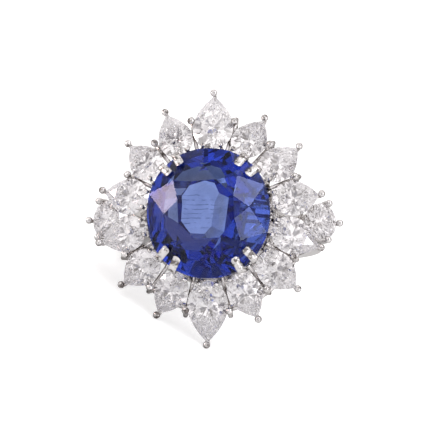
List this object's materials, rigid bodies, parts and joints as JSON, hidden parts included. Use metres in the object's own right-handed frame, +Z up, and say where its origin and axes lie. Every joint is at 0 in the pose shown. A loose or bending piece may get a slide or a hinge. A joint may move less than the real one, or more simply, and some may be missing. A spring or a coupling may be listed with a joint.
{
  "type": "sapphire and diamond cluster ring",
  "caption": "Cluster ring lying on its side: oval blue sapphire in claws, pear cut diamond petals sloping outward, a round diamond on each shoulder, plain white metal shank.",
  "frame": {"origin": "on the table under the middle of the ring's box, as it lies at rest", "axes": "+Z up from the table; -Y is the side the head faces, leaning back; +X is to the right as the head is looked at"},
  "size_m": [0.0234, 0.0266, 0.022],
  "materials": {
    "white_metal": "polished",
    "sapphire": "polished",
    "diamond": "polished"
  },
  "bodies": {
    "root": {"mount": "white_metal", "sapphire": "sapphire", "halo_diamond_01": "diamond", "halo_diamond_02": "diamond", "halo_diamond_03": "diamond", "halo_diamond_04": "diamond", "halo_diamond_05": "diamond", "halo_diamond_06": "diamond", "halo_diamond_07": "diamond", "halo_diamond_08": "diamond", "halo_diamond_09": "diamond", "halo_diamond_10": "diamond", "halo_diamond_11": "diamond", "halo_diamond_12": "diamond", "halo_diamond_13": "diamond", "halo_diamond_14": "diamond", "shoulder_diamond_right": "diamond", "shoulder_diamond_left": "diamond"}
  },
  "joints": []
}
